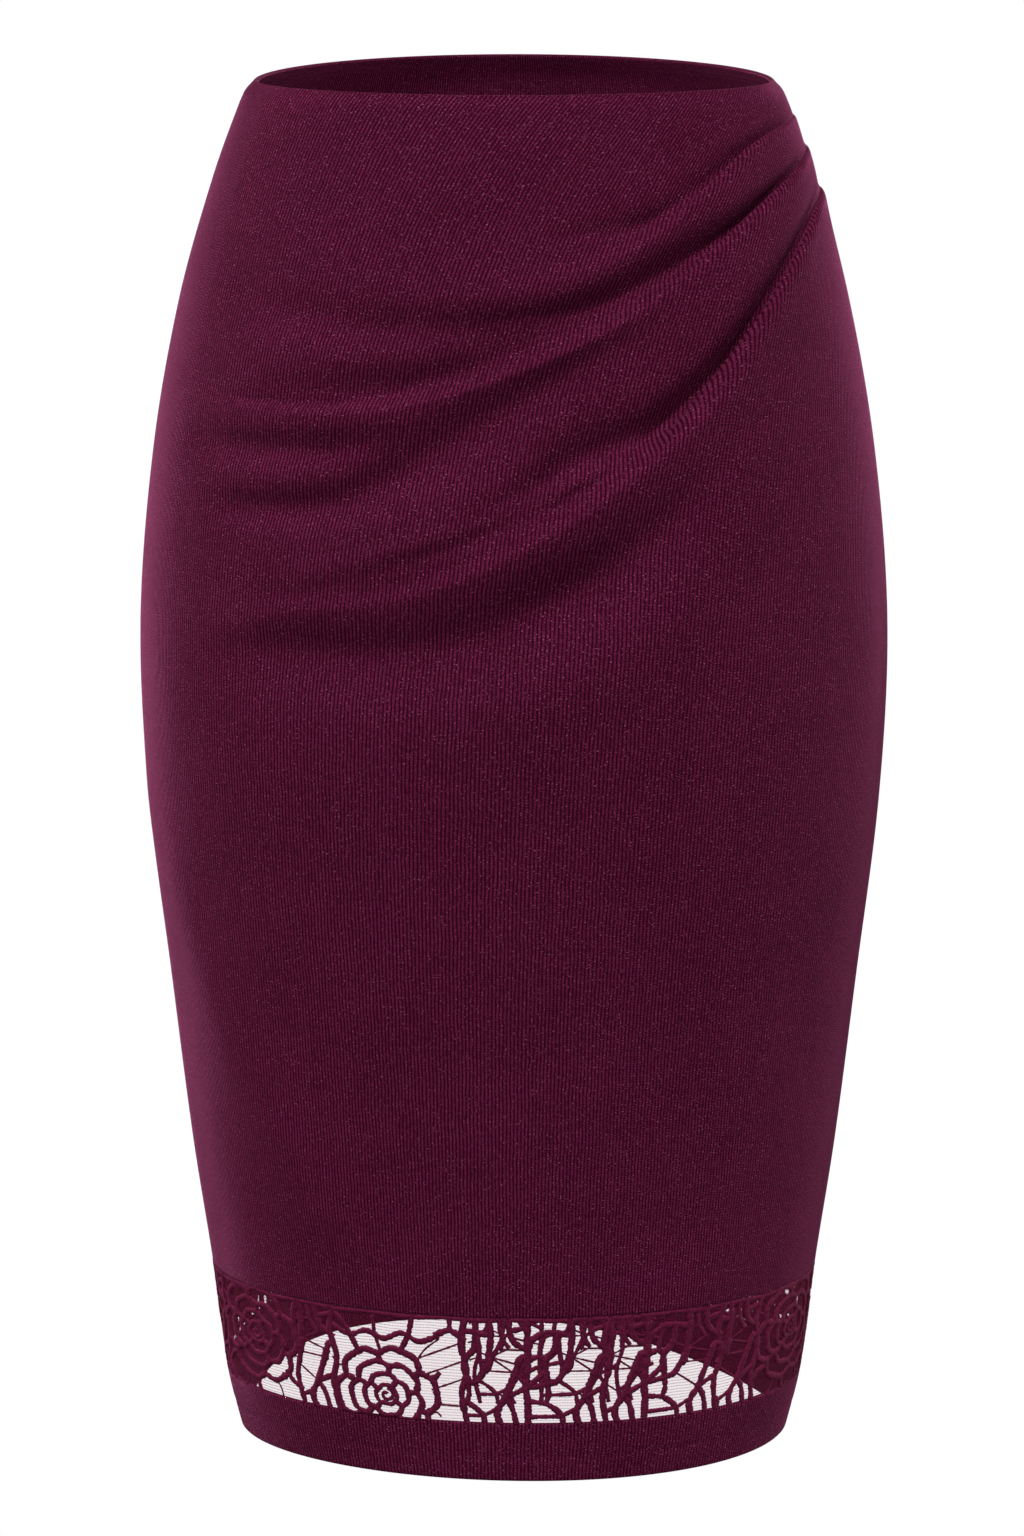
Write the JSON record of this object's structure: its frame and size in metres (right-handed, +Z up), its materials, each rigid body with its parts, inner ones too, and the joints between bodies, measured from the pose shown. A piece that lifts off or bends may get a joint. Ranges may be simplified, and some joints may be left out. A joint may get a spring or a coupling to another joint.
{
  "type": "pencil skirt",
  "caption": "Worn knee-length pencil skirt of fine rib knit, with tucks caught in one side seam and an openwork lace band above a knit hem band.",
  "frame": {"origin": "centre of the waist opening, at the height of the waist's front and back edge, where a wearer or a stand holds the skirt", "axes": "+Z up, out of the waist; -Y out of the front; +X towards the wearer's left side seam, where the tucks are"},
  "size_m": [0.3456, 0.2561, 0.6448],
  "materials": {
    "rib_knit": "matt fine rib knit, wine",
    "lace": "matt corded lace, wine"
  },
  "bodies": {
    "root": {"front_panel": "rib_knit", "back_panel": "rib_knit", "hem_band_front": "rib_knit", "hem_band_back": "rib_knit", "lace_front": "lace", "lace_back": "lace"}
  },
  "joints": []
}
